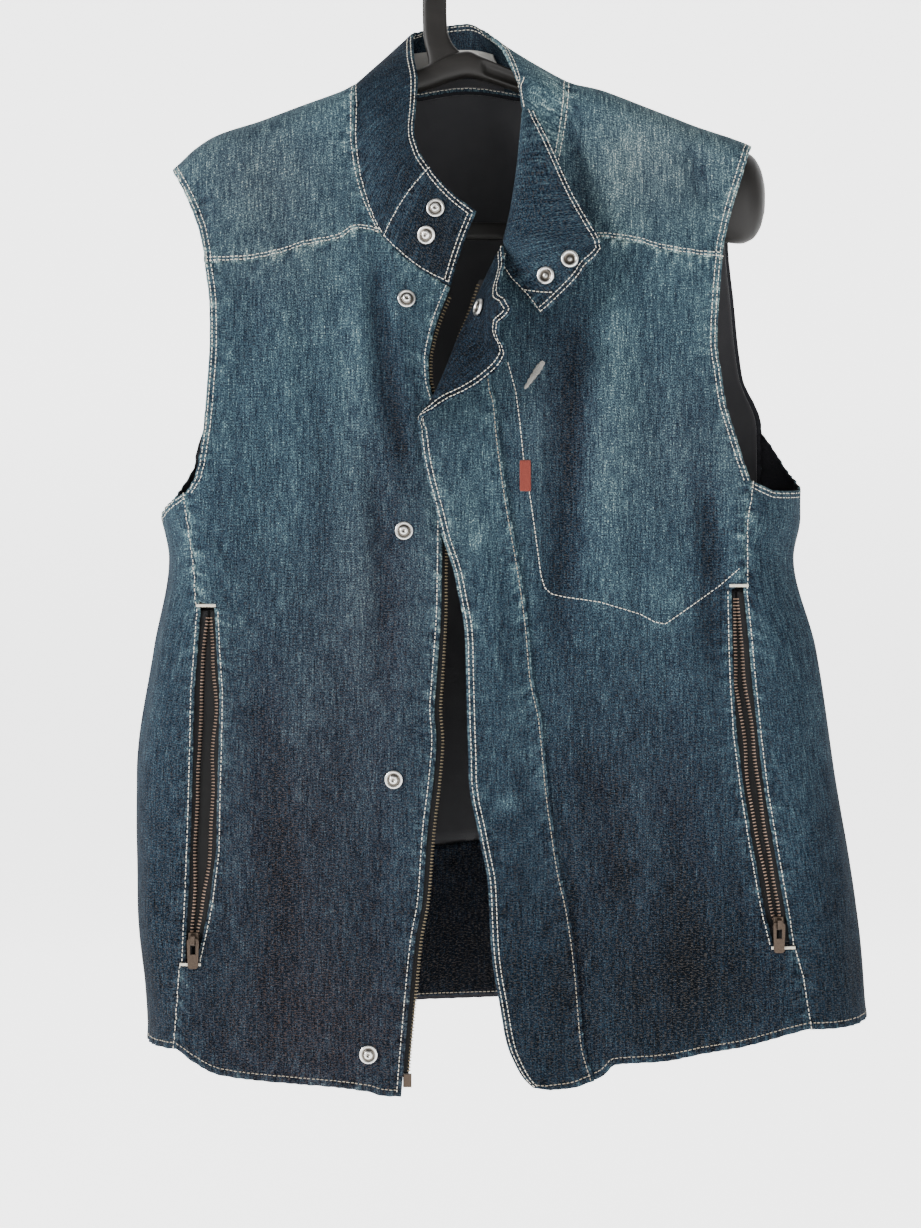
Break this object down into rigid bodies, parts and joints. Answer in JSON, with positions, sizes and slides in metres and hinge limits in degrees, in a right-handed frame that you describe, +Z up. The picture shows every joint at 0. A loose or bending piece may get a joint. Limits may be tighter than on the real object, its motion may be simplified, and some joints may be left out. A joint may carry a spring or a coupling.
{
  "type": "denim vest on a hanger",
  "caption": "Sleeveless denim vest with a stand collar, zip and snap placket and two zipped pockets, hanging open on a plastic hanger.",
  "frame": {"origin": "inner top of the hanger hook, where it rests on a rail", "axes": "+Z up, +X to the viewer's right, +Y from the front towards the back"},
  "size_m": [0.5276, 0.1515, 0.849],
  "materials": {
    "denim": "washed blue denim, faded at the seams",
    "denim_inside": "denim facing",
    "lining": "black woven lining",
    "zip_tape": "black woven tape",
    "zip_metal": "aged brass",
    "snap_metal": "nickel plated",
    "hanger_plastic": "satin black",
    "label": "plain woven label",
    "tab": "plain folded tab"
  },
  "bodies": {
    "vest": {"right_front": "denim", "left_front": "denim", "right_yoke": "denim", "left_yoke": "denim", "back": "denim", "back_lining": "lining", "back_hem_facing": "denim_inside", "right_side": "denim", "left_side": "denim", "left_placket": "denim", "right_collar_tab": "denim", "collar": "denim", "left_collar_tab": "denim", "neck_label": "label", "hang_loop": "lining", "right_front_zip_tape": "zip_tape", "left_front_zip_tape": "zip_tape", "zip_retainer_box": "zip_metal", "right_pocket_front_tape": "zip_tape", "right_pocket_side_tape": "zip_tape", "right_pocket_bag": "lining", "right_pocket_slider": "zip_metal", "left_pocket_front_tape": "zip_tape", "left_pocket_side_tape": "zip_tape", "left_pocket_bag": "lining", "left_pocket_slider": "zip_metal", "front_stud_1": "snap_metal", "front_stud_2": "snap_metal", "front_stud_3": "snap_metal", "front_stud_4": "snap_metal", "collar_stud_1": "snap_metal", "collar_stud_2": "snap_metal", "collar_socket_1": "snap_metal", "collar_socket_2": "snap_metal", "placket_socket_1": "snap_metal", "placket_socket_2": "snap_metal", "placket_socket_3": "snap_metal", "placket_socket_4": "snap_metal", "chest_tab": "tab", "hanger_arms": "hanger_plastic", "hanger_bar": "hanger_plastic", "hanger_hook": "hanger_plastic"},
    "right_pull": {"right_pocket_pull": "zip_metal"},
    "left_pull": {"left_pocket_pull": "zip_metal"}
  },
  "joints": [
    {"name": "right_pull_hinge", "type": "hinge", "parent": "vest", "child": "right_pull", "pos_m": [-0.1916, -0.06934, -0.722], "axis": [-1, 0, 0], "range_deg": [0, 150]},
    {"name": "left_pull_hinge", "type": "hinge", "parent": "vest", "child": "left_pull", "pos_m": [0.2162, -0.06902, -0.711], "axis": [-1, 0, 0], "range_deg": [0, 150]}
  ]
}
